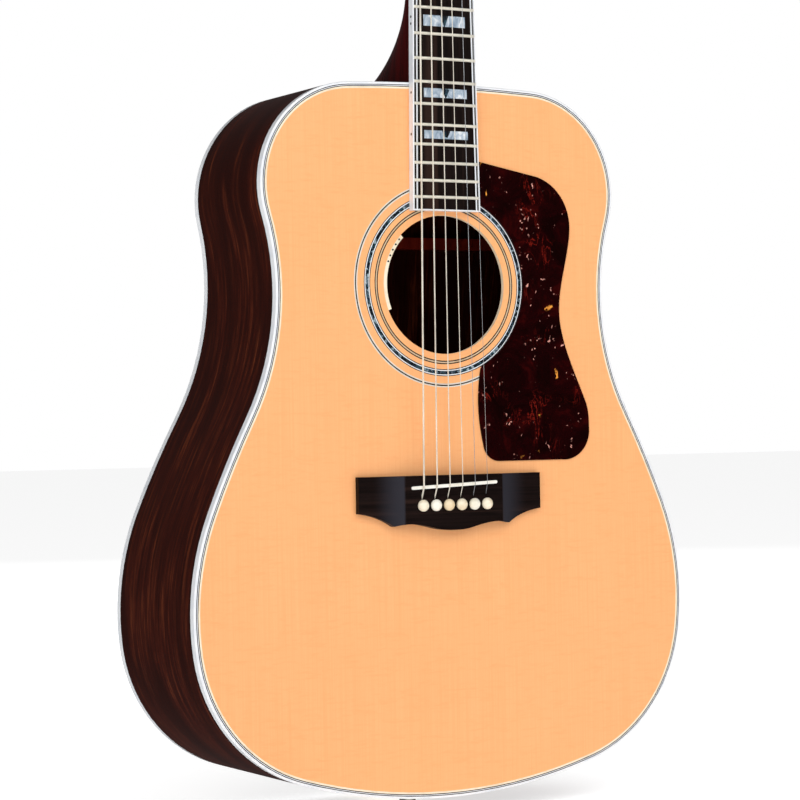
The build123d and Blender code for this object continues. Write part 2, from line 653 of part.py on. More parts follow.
def board_slab(face, floor):
    """Part of the board from a height above the soundboard up to the cambered surface."""
    with BuildPart() as body:
        with BuildSketch(level(-floor)):
            add(face)
        extrude(amount=BOARD_HEIGHT + 1)
        add(camber, mode=Mode.INTERSECT)
    return body.part


def side_strips(outer, inner, end_inset):
    """Two strips along the sides of the fingerboard, from a distance above its low end."""
    with BuildSketch() as sketch:
        add(board_face(outer, end_inset))
        add(board_face(inner, -1), mode=Mode.SUBTRACT)
    return sketch.sketch


inlay_boxes = []
for number in INLAY_FRETS:
    gap = fret_z(number - 1) - fret_z(number)
    z = (fret_z(number - 1) + fret_z(number)) / 2
    inlay_boxes.append((z, 1.34 * board_half_width(z), 0.42 * gap))
INLAY_FLOOR = BOARD_HEIGHT - 0.4 - INLAY_DEPTH

with BuildPart() as fingerboard:
    add(board_slab(board_face(BOARD_STRIPS[0]), 0))
    add(board_slab(side_strips(BOARD_STRIPS[0] - 0.5, STRIP_TOTAL, 0), LINE_FLOOR), mode=Mode.SUBTRACT)
    for number in range(1, FRETS + 1):
        z = fret_z(number)
        with Locations((0, -FRONT - BOARD_HEIGHT, z)):
            Box(2 * (board_half_width(z) - STRIP_TOTAL), 2 * 2.6, 0.6, mode=Mode.SUBTRACT)
    with BuildSketch(level(-INLAY_FLOOR)):
        for z, width, height in inlay_boxes:
            with Locations((0, z)):
                Rectangle(width, height)
    extrude(amount=5, mode=Mode.SUBTRACT)
save(fingerboard.part, "fingerboard")

DOT_HEIGHT = 3.2
DOT_RADIUS = 1.0
DOT_PAIR = 5.0             # between the two dots at fret 12
side_dot_places = [fret_z(n - 0.5) for n in (3, 5, 7, 9, 15, 17)]
side_dot_places += [fret_z(11.5) - DOT_PAIR / 2, fret_z(11.5) + DOT_PAIR / 2]
with BuildPart() as dot_rods:
    for z in side_dot_places:
        with BuildSketch(Plane(origin=(-board_half_width(z) - 1, -FRONT - DOT_HEIGHT, z),
                               x_dir=(0, 1, 0), z_dir=(1, 0, 0))):
            Circle(DOT_RADIUS)
        extrude(amount=1.8)

with BuildPart() as fingerboard_binding:
    add(board_slab(board_face(0), 0))
    add(board_slab(board_face(BOARD_STRIPS[0] - GLUE), -1), mode=Mode.SUBTRACT)
    add(dot_rods.part, mode=Mode.SUBTRACT)
save(fingerboard_binding.part, "fingerboard_binding")

with BuildPart() as side_dots:
    add(dot_rods.part)
    add(board_slab(board_face(0), 0), mode=Mode.INTERSECT)
save(side_dots.part, "side_dots")

with BuildPart() as fingerboard_purfling:
    for outer, inner in strips(BOARD_STRIPS[0], BOARD_STRIPS[1:]):
        add(board_slab(side_strips(outer, inner, BOARD_STRIPS[0]), LINE_FLOOR))
save(fingerboard_purfling.part, "fingerboard_purfling")

# each block inlay is two pieces of pearl with a wedge of abalone between them
with BuildSketch() as pearl_shape:
    for z, width, height in inlay_boxes:
        with Locations((0, z)):
            Rectangle(width - GLUE, height - GLUE)
with BuildSketch() as wedge_gaps:
    for z, width, height in inlay_boxes:
        with BuildLine():
            Polyline((-0.14 * width, z + height), (0.14 * width, z + height), (0.0, z - 0.62 * height),
                     close=True)
        make_face()
wedge_room = offset(wedge_gaps.sketch, amount=GLUE)
with BuildSketch() as pearl_only:
    add(pearl_shape.sketch)
    add(wedge_room, mode=Mode.SUBTRACT)
with BuildSketch() as wedge_only:
    add(wedge_gaps.sketch)
    add(pearl_shape.sketch, mode=Mode.INTERSECT)
with BuildPart() as block_inlays:
    add(board_slab(pearl_only.sketch, INLAY_FLOOR))
    add(board_slab(wedge_only.sketch, INLAY_FLOOR))
save(block_inlays.part, "block_inlays")


def fret_arc(z, half_angle, face):
    """A cross-section swept round the board's camber, centred on the centre line."""
    start = (sin(-half_angle), -cos(half_angle), 0)
    normal = (-cos(half_angle), -sin(-half_angle), 0)
    with BuildPart() as body:
        with BuildSketch(Plane(origin=(0, board_axis_y, z), x_dir=start, z_dir=normal)):
            add(face)
        revolve(axis=Axis((0, board_axis_y, z), (0, 0, 1)), revolution_arc=2 * degrees(half_angle))
    return body.part


with BuildSketch() as crown:
    with Locations((BOARD_RADIUS, 0)):
        Ellipse(FRET_HEIGHT, FRET_WIDTH / 2)
    with Locations((BOARD_RADIUS - 5, 0)):
        Rectangle(10, 10, mode=Mode.SUBTRACT)
with BuildSketch() as tang:
    with Locations((BOARD_RADIUS - 0.6, 0)):
        Rectangle(1.6, 0.5)
with BuildPart() as frets:
    for number in range(1, FRETS + 1):
        z = fret_z(number)
        half = board_half_width(z)
        add(fret_arc(z, (half - BOARD_STRIPS[0]) / BOARD_RADIUS, crown.sketch))
        add(fret_arc(z, (half - STRIP_TOTAL - 0.3) / BOARD_RADIUS, tang.sketch))
save(frets.part, "frets")

# ---------------------------------------------------------------- neck and headstock
HEAD_START = NUT_Z + NUT_LENGTH
tilt = radians(HEAD_ANGLE)
head = Plane(origin=(0, -FRONT, HEAD_START), x_dir=(1, 0, 0), z_dir=(0, -cos(tilt), sin(tilt)))
# place up the neck and depth of the wood behind the fingerboard: heel, even taper, volute
HEEL = [(JOINT_Z + 0.1, 114), (533, 101.5), (538, 88.5), (544, 75), (551, 62), (560, 48.5), (572, 34.5),
        (586, 23.5), (603, 17.6)]
TAPER_START, TAPER_END = (626, 16), (HEAD_START, 14.2)
VOLUTE = [(HEAD_START + 12, 19.5, 18.2), (HEAD_START + 30, 9, 20.6)]   # place, half width, depth
HEEL_CAP_START, HEEL_CAP_END = 101.0, 104.0
ROD_RADIUS = 2.4
ROD_DEPTH = 4.6
ROD_START = JOINT_Z + 4
POCKET_LENGTH = 30.0
POCKET_END = 24.0

taper = [tuple(a + (b - a) * step / 7 for a, b in zip(TAPER_START, TAPER_END)) for step in range(8)]
sections = [(z, board_half_width(z), depth) for z, depth in HEEL + taper] + VOLUTE
with BuildPart() as neck_shaft:
    for z, half, depth in sections:
        with BuildSketch(Plane(origin=(0, -FRONT, z), x_dir=(1, 0, 0), z_dir=(0, 0, 1))):
            with BuildLine():
                Line((half, 0), (-half, 0))
                Bezier((-half, 0), (-half, depth * 4 / 3), (half, depth * 4 / 3), (half, 0))
            make_face()
    loft()

with BuildSketch() as head_shape:
    with BuildLine():
        Line((0, 0), (board_half_width(HEAD_START), 0))
        TangentArc((board_half_width(HEAD_START), 0), (30, 19), tangent=(0.05, 1))
        Line((30, 19), (37.5, 168))
        ThreePointArc((37.5, 168), (20, 180.5), (0, HEAD_LENGTH - 2))
        mirror(about=Plane.YZ)
    make_face()

post_spots = [(side * x, v) for side in (-1, 1) for x, v in zip(POST_X, POST_ROWS)]
BUSHING_RADIUS = 4.9
with BuildSketch() as head_drilled:
    add(head_shape.sketch)
    with Locations(*post_spots):
        Circle(BUSHING_RADIUS + GLUE, mode=Mode.SUBTRACT)
with BuildSketch() as pocket_shape:
    with Locations((0, POCKET_END - POCKET_LENGTH / 2)):
        SlotOverall(POCKET_LENGTH, 9, rotation=90)

with BuildPart() as neck:
    add(neck_shaft.part)
    with BuildSketch(level(HEEL_CAP_START)):
        with Locations((0, JOINT_Z)):
            Rectangle(100, 100)
    extrude(amount=-50, mode=Mode.SUBTRACT)
    with BuildSketch(head.offset(-HEAD_THICKNESS)):
        add(head_drilled.sketch)
    extrude(amount=HEAD_THICKNESS)
    with BuildSketch(head):
        with Locations((0, 40)):
            Rectangle(120, 80)
    extrude(amount=30, mode=Mode.SUBTRACT)
    with BuildSketch(level(TOP_THICKNESS + 0.1)):
        add(tenon_shape.sketch)
    extrude(amount=TOP_THICKNESS - TENON_DEPTH)
    # the truss rod lies in a groove under the fingerboard and ends in a pocket
    with BuildSketch(level(0)):
        with Locations((0, (ROD_START + HEAD_START) / 2)):
            Rectangle(2 * ROD_RADIUS + 0.2, HEAD_START - ROD_START + 2)
    extrude(amount=-2 * ROD_DEPTH, mode=Mode.SUBTRACT)
    with BuildSketch(head.offset(1)):
        add(pocket_shape.sketch)
    extrude(amount=-9, mode=Mode.SUBTRACT)
save(neck.part, "neck")

with BuildPart() as heel_cap:
    add(neck_shaft.part)
    with BuildSketch(level(HEEL_CAP_START + GLUE)):
        with Locations((0, JOINT_Z)):
            Rectangle(100, 100)
    extrude(amount=HEEL_CAP_START - HEEL_CAP_END, mode=Mode.INTERSECT)
save(heel_cap.part, "heel_cap")

with BuildPart() as headstock_veneer:
    with BuildSketch(head):
        add(head_drilled.sketch)
        add(pocket_shape.sketch, mode=Mode.SUBTRACT)
    extrude(amount=VENEER)
save(headstock_veneer.part, "headstock_veneer")

with BuildPart() as truss_rod:
    with BuildSketch(Plane(origin=(0, ROD_DEPTH - FRONT, ROD_START + 1), x_dir=(1, 0, 0),
                           z_dir=(0, 0, 1))):
        Circle(ROD_RADIUS)
    extrude(amount=HEAD_START - ROD_START + 8)
    with BuildSketch(Plane(origin=(0, ROD_DEPTH - FRONT, HEAD_START + 3), x_dir=(1, 0, 0),
                           z_dir=(0, 0, 1))):
        RegularPolygon(3.4, 6)
    extrude(amount=12)
save(truss_rod.part, "truss_rod")

COVER_SCREWS = [(0, 5.5), (0, 27)]
with BuildPart() as truss_rod_cover:
    with BuildSketch(head.offset(VENEER + GLUE)):
        with BuildLine():
            Polyline((-9, 1.5), (9, 1.5), (11, 9), (3, 31), (-3, 31), (-11, 9), close=True)
        make_face()
        fillet(vertices(), 1.4)
        with Locations(*COVER_SCREWS):
            Circle(1.1, mode=Mode.SUBTRACT)
    extrude(amount=1.6)
save(truss_rod_cover.part, "truss_rod_cover")

# ---------------------------------------------------------------- nut
STRING_LIFT = 0.45         # clearance over the frets at the nut
nut_heights = []
for number, gauge in enumerate(STRING_GAUGES):
    x = string_x(number, NUT_Z)
    nut_heights.append(BOARD_HEIGHT - x ** 2 / (2 * BOARD_RADIUS) + FRET_HEIGHT + STRING_LIFT + gauge / 2)
NUT_TOP = BOARD_HEIGHT + FRET_HEIGHT + 1.5

with BuildPart() as nut:
    with BuildSketch(level(0)):
        with Locations((0, NUT_Z + NUT_LENGTH / 2)):
            Rectangle(NUT_WIDTH - 0.1, NUT_LENGTH - 0.1)
    extrude(amount=NUT_TOP)
    add(Pos(0, BOARD_RADIUS - FRONT - NUT_TOP, NUT_Z) * Cylinder(BOARD_RADIUS, 60), mode=Mode.INTERSECT)
    with BuildSketch(Plane.XY.offset(NUT_Z - 1)):
        for number, gauge in enumerate(STRING_GAUGES):
            low = nut_heights[number] - gauge / 2 - 0.05
            with Locations((string_x(number, NUT_Z), -FRONT - low - 5)):
                Rectangle(gauge + 0.1, 10)
    extrude(amount=NUT_LENGTH + 2, mode=Mode.SUBTRACT)
save(nut.part, "nut")

# ---------------------------------------------------------------- tuning machines
BUSHING_TOP = VENEER + 3.0
POST_TOP = VENEER + 13.5
HOUSING_START = -HEAD_THICKNESS - 0.1
HOUSING_DEPTH = 13.5
HOUSING_SIZE = (17.0, 24.0)
WALL = 1.3
WHEEL_RADIUS = 5.4
WORM_RADIUS = 2.3
WORM_OFFSET = WHEEL_RADIUS + WORM_RADIUS + 0.35
SHAFT_RADIUS = 1.6
WORM_LEVEL = HOUSING_START - HOUSING_DEPTH / 2
BUTTON_OUT = 24.0          # from the post to the inner end of the button
BUTTON_SIZE = (13.0, 18.0, 7.0)
STRING_LEVEL = VENEER + 8.6
CORE_GAP = 0.3             # between a string and its post
# nearest posts take the outer strings, far posts the middle ones
post_strings = [0, 1, 2, 5, 4, 3]
string_posts = {}


def tuner_frame(u, v, w):
    """Plane at a spot of the headstock, facing out of its front."""
    return Plane(origin=head.from_local_coords((u, v, w)), x_dir=head.x_dir, z_dir=head.z_dir)


housings = []
bushings = []
screws = []
for (u, v), string in zip(post_spots, post_strings):
    side = copysign(1, u)
    string_posts[string] = (u, v, side)
    number = string + 1
    gauge = STRING_GAUGES[string]
    with BuildPart() as post:
        with BuildSketch(tuner_frame(u, v, WORM_LEVEL - 2)):
            Circle(WHEEL_RADIUS)
            with PolarLocations(WHEEL_RADIUS, GEAR_RATIO):
                Circle(0.5, mode=Mode.SUBTRACT)
        extrude(amount=4)
        with BuildSketch(tuner_frame(u, v, WORM_LEVEL - 3.5)):
            Circle(POST_RADIUS)
        extrude(amount=POST_TOP - WORM_LEVEL + 3.5)
        chamfer(post.edges().sort_by(Axis(head.origin, head.z_dir))[-1], 0.6)
        with BuildSketch(Plane(origin=head.from_local_coords((u, v, POST_TOP - 3)),
                               x_dir=head.z_dir, z_dir=head.x_dir)):
            Circle(0.9)
        extrude(amount=5, both=True, mode=Mode.SUBTRACT)
    # three turns of the string lie on the post
    with BuildPart() as turns:
        for turn in range(3):
            middle = BUSHING_TOP + 0.4 + gauge * (turn + 0.6)
            with Locations(tuner_frame(u, v, middle)):
                Torus(POST_RADIUS + gauge / 2 + GLUE, gauge / 2 - GLUE)
    with BuildPart() as wound_post:
        add(post.part)
        add(turns.part)
    save(wound_post.part, f"tuner_post_{number}")

    worm_v = v - WORM_OFFSET
    reach = BUTTON_OUT + BUTTON_SIZE[0]
    shaft_plane = Plane(origin=head.from_local_coords((u, worm_v, WORM_LEVEL)), x_dir=head.x_dir * side,
                        z_dir=head.z_dir * side)
    with BuildPart() as button:
        with BuildSketch(shaft_plane.offset(-BUTTON_SIZE[2] / 2)):
            with Locations((BUTTON_OUT + BUTTON_SIZE[0] / 2, 0)):
                Ellipse(BUTTON_SIZE[0] / 2 + 0.6, BUTTON_SIZE[1] / 2)
        extrude(amount=BUTTON_SIZE[2])
        fillet(button.edges().group_by(Axis(head.origin, head.z_dir))[0], 2.2)
        fillet(button.edges().group_by(Axis(head.origin, head.z_dir))[-1], 2.2)
        with BuildSketch(shaft_plane):
            with BuildLine():
                points = [(-6.2, 0), (-6.2, SHAFT_RADIUS)]
                for ridge in range(4):
                    low = -4.8 + 2.4 * ridge
                    points += [(low, SHAFT_RADIUS), (low + 0.6, WORM_RADIUS), (low + 1.2, WORM_RADIUS),
                               (low + 1.8, SHAFT_RADIUS)]
                points += [(BUTTON_OUT - 4.5, SHAFT_RADIUS), (BUTTON_OUT - 4.5, 3.0),
                           (BUTTON_OUT + 1.5, 3.0), (BUTTON_OUT + 1.5, 0)]
                Polyline(points, close=True)
            make_face()
        revolve(axis=Axis(shaft_plane.origin, shaft_plane.x_dir))
    save(button.part, f"tuner_button_{number}")

    housing_v = v - WORM_OFFSET / 2 + 1.2
    with BuildPart() as housing:
        with BuildSketch(tuner_frame(u, housing_v, HOUSING_START)):
            RectangleRounded(*HOUSING_SIZE, 4)
        extrude(amount=-HOUSING_DEPTH)
        fillet(housing.faces().sort_by(Axis(head.origin, head.z_dir))[0].edges(), 2.2)
        with BuildSketch(tuner_frame(u, housing_v, HOUSING_START - WALL)):
            RectangleRounded(HOUSING_SIZE[0] - 2 * WALL, HOUSING_SIZE[1] - 2 * WALL, 2.7)
        extrude(amount=2 * WALL - HOUSING_DEPTH, mode=Mode.SUBTRACT)
        with BuildSketch(tuner_frame(u, v, HOUSING_START)):
            Circle(POST_RADIUS + 0.05)
        extrude(amount=-2 * WALL, mode=Mode.SUBTRACT)
        with BuildSketch(Plane(origin=shaft_plane.origin, x_dir=head.z_dir,
                               z_dir=shaft_plane.x_dir)):
            Circle(SHAFT_RADIUS + 0.05)
        extrude(amount=20, mode=Mode.SUBTRACT)
    housings.append(housing.part)

    with BuildPart() as bushing:
        with BuildSketch(tuner_frame(u, v, HOUSING_START + 0.4)):
            Circle(BUSHING_RADIUS)
        extrude(amount=VENEER - HOUSING_START - 0.4)
        with BuildSketch(tuner_frame(u, v, VENEER + GLUE)):
            Circle(7.0)
        extrude(amount=0.8)
        with BuildSketch(tuner_frame(u, v, VENEER + 0.8)):
            RegularPolygon(5.9, 6)
        extrude(amount=BUSHING_TOP - VENEER - 0.8)
        with BuildSketch(tuner_frame(u, v, HOUSING_START)):
            Circle(POST_RADIUS + 0.05)
        extrude(amount=30, mode=Mode.SUBTRACT)
    bushings.append(bushing.part)

    # one fixing screw in a small lug above each housing
    lug_v = housing_v + HOUSING_SIZE[1] / 2 + 2.4
    with BuildPart() as screw:
        with BuildSketch(tuner_frame(u, lug_v, HOUSING_START - 0.02)):
            Circle(2.4)
        extrude(amount=-1.3)
        fillet(screw.faces().sort_by(Axis(head.origin, head.z_dir))[0].edges(), 0.8)
        with BuildSketch(tuner_frame(u, lug_v, HOUSING_START - 1.4)):
            Rectangle(3.0, 0.7)
            Rectangle(0.7, 3.0)
        extrude(amount=0.7, mode=Mode.SUBTRACT)
    screws.append(screw.part)

for u, v in COVER_SCREWS:
    with BuildPart() as screw:
        with BuildSketch(tuner_frame(u, v, VENEER + 1.7)):
            Circle(2.0)
        extrude(amount=0.9)
        fillet(screw.faces().sort_by(Axis(head.origin, head.z_dir))[-1].edges(), 0.5)
        with BuildSketch(tuner_frame(u, v, VENEER + 2.0)):
            Rectangle(2.6, 0.6)
            Rectangle(0.6, 2.6)
        extrude(amount=1, mode=Mode.SUBTRACT)
    screws.append(screw.part)

for pieces, label in ((housings, "tuner_housings"), (bushings, "tuner_bushings"),
                      (screws, "headstock_screws")):
    with BuildPart() as group:
        for piece in pieces:
            add(piece)
    save(group.part, label)

# ---------------------------------------------------------------- strings
BALL_DEPTH = TOP_THICKNESS + PLATE_THICKNESS + 0.6
BALL_RADIUS = 1.9
with BuildPart() as strings:
    for number, gauge in enumerate(STRING_GAUGES):
        radius = gauge / 2
        pin_x = (number - MIDDLE_STRING) * PIN_SPACING
        drop_z = PIN_Z + PIN_RADIUS + 0.35 + radius
        saddle_z = SADDLE_Z + pin_x * SADDLE_RISE / SADDLE_LENGTH
        saddle_y = -FRONT - SADDLE_HEIGHT + pin_x ** 2 / (2 * BOARD_RADIUS) - radius - 0.3
        nut_x = string_x(number, NUT_Z)
        nut_y = -FRONT - nut_heights[number]
        u, v, side = string_posts[number]
        loop = POST_RADIUS + CORE_GAP + radius
        route = [Vector(pin_x, BALL_DEPTH - FRONT, drop_z), Vector(pin_x, -FRONT - 7.6, drop_z),
                 Vector(pin_x, saddle_y, saddle_z), Vector(nut_x, nut_y, HEAD_START + 0.6),
                 head.from_local_coords(Vector(u - side * loop, v + loop, STRING_LEVEL)),
                 head.from_local_coords(Vector(u + side * 0.5, v + loop, STRING_LEVEL))]
        with BuildPart() as string:
            with BuildLine() as path:
                FilletPolyline(*route, radius=[1.3, 4.0, 8.0, loop - 0.05])
            with BuildSketch(Plane(origin=route[0], z_dir=(0, -1, 0))):
                Circle(radius)
            sweep(path=path.line)
        add(string.part)
        with BuildSketch(level(BALL_DEPTH + GLUE)):
            with Locations((pin_x, drop_z + 1.2)):
                Circle(BALL_RADIUS)
        extrude(amount=-3.6)
save(strings.part, "strings")

# ---------------------------------------------------------------- endpin jack and control strip
JACK_BORE = 3.25
with BuildPart() as endpin_jack:
    with BuildSketch(Plane.XZ):
        with BuildLine():
            Polyline((JACK_BORE, -13), (5.5, -13), (6.6, -12), (6.6, -10.5), (4.8, -8), (4.8, -3),
                     (8.5, -1.2), (8.5, -0.1), (JACK_RADIUS, -0.1), (JACK_RADIUS, 22.2),
                     (10.2, 22.2), (10.2, 25.2), (JACK_RADIUS, 25.2), (JACK_RADIUS, 44),
                     (2.0, 44), (2.0, 17), (JACK_BORE, 17), close=True)
        make_face()
    revolve(axis=Axis.Z)
save(endpin_jack.part, "endpin_jack")

STRIP_RADII = (HOLE_RADIUS - 2.9, HOLE_RADIUS - 0.05)
STRIP_START, STRIP_TURN = 135.0, 67.0
KNOB_TURNS = [139.0 + 5.4 * knob for knob in range(5)]
KNOB_RADIUS = 0.65
with BuildPart() as control_strip:
    with BuildSketch(level(0.1)):
        with BuildLine():
            middle = sum(STRIP_RADII) / 2
            CenterArc((0, HOLE_Z), middle, STRIP_START, STRIP_TURN)
        trace(line_width=STRIP_RADII[1] - STRIP_RADII[0] - 0.1)
    extrude(amount=-2.4)
    for turn in KNOB_TURNS:
        with BuildSketch(level(-0.02)):
            with Locations((0, HOLE_Z)):
                with PolarLocations(middle + 0.3, 1, turn):
                    Circle(KNOB_RADIUS)
        extrude(amount=0.5)
save(control_strip.part, "control_strip")
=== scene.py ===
from math import cos, radians, sin

import bpy
import numpy as np
from mathutils import Matrix, Vector


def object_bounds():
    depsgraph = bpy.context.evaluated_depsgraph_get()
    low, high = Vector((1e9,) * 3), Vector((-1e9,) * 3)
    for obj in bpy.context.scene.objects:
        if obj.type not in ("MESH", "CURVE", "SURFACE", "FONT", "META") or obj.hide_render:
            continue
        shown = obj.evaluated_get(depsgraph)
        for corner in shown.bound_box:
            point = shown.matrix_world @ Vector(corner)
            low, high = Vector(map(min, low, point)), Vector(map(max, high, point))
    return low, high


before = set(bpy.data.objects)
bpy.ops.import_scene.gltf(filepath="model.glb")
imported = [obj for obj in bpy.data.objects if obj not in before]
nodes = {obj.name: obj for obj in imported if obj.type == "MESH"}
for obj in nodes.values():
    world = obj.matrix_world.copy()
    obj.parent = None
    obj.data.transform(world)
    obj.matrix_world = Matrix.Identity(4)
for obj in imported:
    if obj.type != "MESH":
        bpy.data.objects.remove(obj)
cad_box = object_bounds()

# metres
HOLE_CENTRE = Vector((0, -0.07, 0.3789))
HOLE_REACH = 0.0518        # just past the soundhole's edge
WING_START = 0.0425        # from the bridge's middle to its wings
# the painted reflection on the bridge's wings: its sharp inner edge and its outward fade
WING_EDGE = 0.0015
WING_FADE = 0.024
WEDGE_REACH = 0.002        # an inlay nearer the middle than this is a wedge
DOT_SIZE = 0.004           # a solid of the control strip shorter than this is a knob
BALL_SIZE = 0.01           # a solid of the strings shorter than this is a ball end
PLAIN_START = 0.01         # the plain strings pass the bridge further over than this
TURN_HEIGHT = 0.006        # a solid of a tuner post flatter than this is a turn of string
WOUND_STRINGS = 4


# ---------------------------------------------------------------- material tools
def tone(red, green, blue):
    """Linear colour from the 0 to 255 values of a display colour."""
    values = [channel / 255 for channel in (red, green, blue)]
    return tuple(v / 12.92 if v <= 0.04045 else ((v + 0.055) / 1.055) ** 2.4 for v in values)


class Surface:
    """A principled material with short calls for the procedural nodes that feed it."""

    def __init__(self, name, colour, roughness, specular=0.5, **constants):
        self.material = bpy.data.materials.new(name)
        self.material.use_nodes = True
        self.tree = self.material.node_tree
        self.shader = self.tree.nodes["Principled BSDF"]
        self.shader.inputs["Base Color"].default_value = (*colour, 1)
        self.shader.inputs["Roughness"].default_value = roughness
        self.shader.inputs["Specular IOR Level"].default_value = specular
        for socket, value in constants.items():
            self.shader.inputs[socket.replace("_", " ").title()].default_value = value
        self.place = self.tree.nodes.new("ShaderNodeTexCoord").outputs["Object"]

    def new(self, kind, inputs, **settings):
        node = self.tree.nodes.new(kind)
        for setting, value in settings.items():
            setattr(node, setting, value)
        for socket, value in inputs.items():
            self.feed(node.inputs[socket], value)
        return node

    def feed(self, socket, value):
        if isinstance(value, bpy.types.NodeSocket):
            self.tree.links.new(value, socket)
        elif isinstance(value, tuple) and socket.type == "RGBA":
            socket.default_value = (*value[:3], 1)
        else:
            socket.default_value = value

    def stretched(self, scale, turn=(0, 0, 0), source=None):
        """Coordinates stretched along the axes: a small number makes long features."""
        inputs = {"Vector": source or self.place, "Scale": scale, "Rotation": turn}
        return self.new("ShaderNodeMapping", inputs).outputs["Vector"]

    def noise(self, where, scale, detail=3.0, roughness=0.55, distortion=0.0):
        inputs = {"Vector": where, "Scale": scale, "Detail": detail, "Roughness": roughness,
                  "Distortion": distortion}
        return self.new("ShaderNodeTexNoise", inputs).outputs["Fac"]

    def cells(self, where, scale, feature="F1", output="Distance", randomness=1.0):
        inputs = {"Vector": where, "Scale": scale, "Randomness": randomness}
        return self.new("ShaderNodeTexVoronoi", inputs, feature=feature).outputs[output]

    def bands(self, where, scale, direction, distortion=0.0):
        inputs = {"Vector": where, "Scale": scale, "Distortion": distortion}
        return self.new("ShaderNodeTexWave", inputs, bands_direction=direction).outputs["Fac"]

    def ramp(self, value, *stops):
        node = self.new("ShaderNodeValToRGB", {"Fac": value})
        elements = node.color_ramp.elements
        while len(elements) < len(stops):
            elements.new(0.5)
        for element, (position, colour) in zip(elements, stops):
            element.position = position
            element.color = (*colour, 1)
        return node.outputs["Color"]

    def mask(self, value, low, high):
        """0 below low, 1 above high, with a soft step between."""
        inputs = {"Value": value, "From Min": low, "From Max": high}
        return self.new("ShaderNodeMapRange", inputs, interpolation_type="SMOOTHSTEP").outputs["Result"]

    def span(self, value, low, high):
        """A 0 to 1 value spread between two numbers."""
        inputs = {"Value": value, "To Min": low, "To Max": high}
        return self.new("ShaderNodeMapRange", inputs).outputs["Result"]

    def mix(self, share, first, second, blend="MIX"):
        node = self.new("ShaderNodeMix", {}, data_type="RGBA", blend_type=blend)
        self.feed(node.inputs[0], share)
        self.feed(node.inputs[6], first)
        self.feed(node.inputs[7], second)
        return node.outputs[2]

    def maths(self, operation, *values):
        node = self.tree.nodes.new("ShaderNodeMath")
        node.operation = operation
        for socket, value in zip(node.inputs, values):
            self.feed(socket, value)
        return node.outputs["Value"]

    def colour(self, value):
        self.feed(self.shader.inputs["Base Color"], value)

    def roughness(self, value):
        self.feed(self.shader.inputs["Roughness"], value)

    def relief(self, height, distance, strength=1.0):
        inputs = {"Height": height, "Distance": distance, "Strength": strength}
        bump = self.new("ShaderNodeBump", inputs)
        self.feed(self.shader.inputs["Normal"], bump.outputs["Normal"])


# ---------------------------------------------------------------- woods
def spruce():
    """Pale top: fine straight grain up the body, faint silk across it, thin clear gloss."""
    wood = Surface("spruce", tone(255, 186, 126), 0.34, coat_weight=0.12, coat_roughness=0.12)
    grain = wood.noise(wood.stretched((1, 1, 0.010)), scale=900, detail=4, roughness=0.6, distortion=0.1)
    wide = wood.noise(wood.stretched((1, 1, 0.02)), scale=70, detail=2)
    silk = wood.noise(wood.stretched((0.16, 1, 1)), scale=420, detail=5, roughness=0.7, distortion=0.5)
    cloud = wood.noise(wood.place, scale=6, detail=2)
    base = wood.ramp(grain, (0.30, tone(247, 170, 107)), (0.52, tone(251, 178, 116)),
                     (0.70, tone(253, 184, 122)))
    toned = wood.mix(wood.span(wide, 0.0, 0.3), base, tone(254, 186, 126))
    silky = wood.mix(wood.mask(silk, 0.46, 0.74), toned, tone(248, 170, 108))
    wood.colour(wood.mix(wood.span(cloud, 0.0, 0.30), silky, tone(254, 189, 133)))
    wood.roughness(wood.span(grain, 0.30, 0.42))
    wood.relief(grain, distance=0.00002, strength=0.2)
    return wood.material


def rosewood(name, along, across, mirrored=False):
    """Dark oily wood with red-brown and near-black streaks; the stretches set its grain."""
    wood = Surface(name, tone(58, 20, 10), 0.42, specular=0.06, coat_weight=0.02, coat_roughness=0.1)
    place = wood.place
    if mirrored:
        parts = wood.new("ShaderNodeSeparateXYZ", {"Vector": place})
        folded = wood.maths("ABSOLUTE", parts.outputs["X"])
        inputs = {"X": folded, "Y": parts.outputs["Y"], "Z": parts.outputs["Z"]}
        place = wood.new("ShaderNodeCombineXYZ", inputs).outputs["Vector"]
    streaks = wood.noise(wood.stretched(along, source=place),
                         scale=330, detail=5, roughness=0.7, distortion=0.15)
    figure = wood.noise(wood.stretched(across, source=place),
                        scale=26, detail=3, roughness=0.5, distortion=0.9)
    fine = wood.noise(wood.stretched(along, source=place),
                      scale=520, detail=3, roughness=0.7, distortion=0.1)
    pores = wood.noise(wood.stretched([stretch * 2.2 for stretch in along], source=place),
                       scale=620, detail=2, roughness=0.5)
    base = wood.ramp(streaks, (0.32, tone(34, 5, 1)), (0.46, tone(52, 12, 4)), (0.56, tone(70, 22, 9)),
                     (0.72, tone(120, 58, 28)))
    figured = wood.mix(wood.mask(figure, 0.40, 0.66), base, tone(40, 8, 3))
    shaded = wood.mix(wood.span(fine, 0.0, 0.45), figured, tone(34, 7, 3))
    wood.colour(wood.mix(wood.mask(pores, 0.66, 0.74), shaded, tone(14, 3, 2)))
    wood.roughness(wood.span(streaks, 0.30, 0.44))
    wood.relief(pores, distance=0.00003, strength=0.2)
    return wood.material


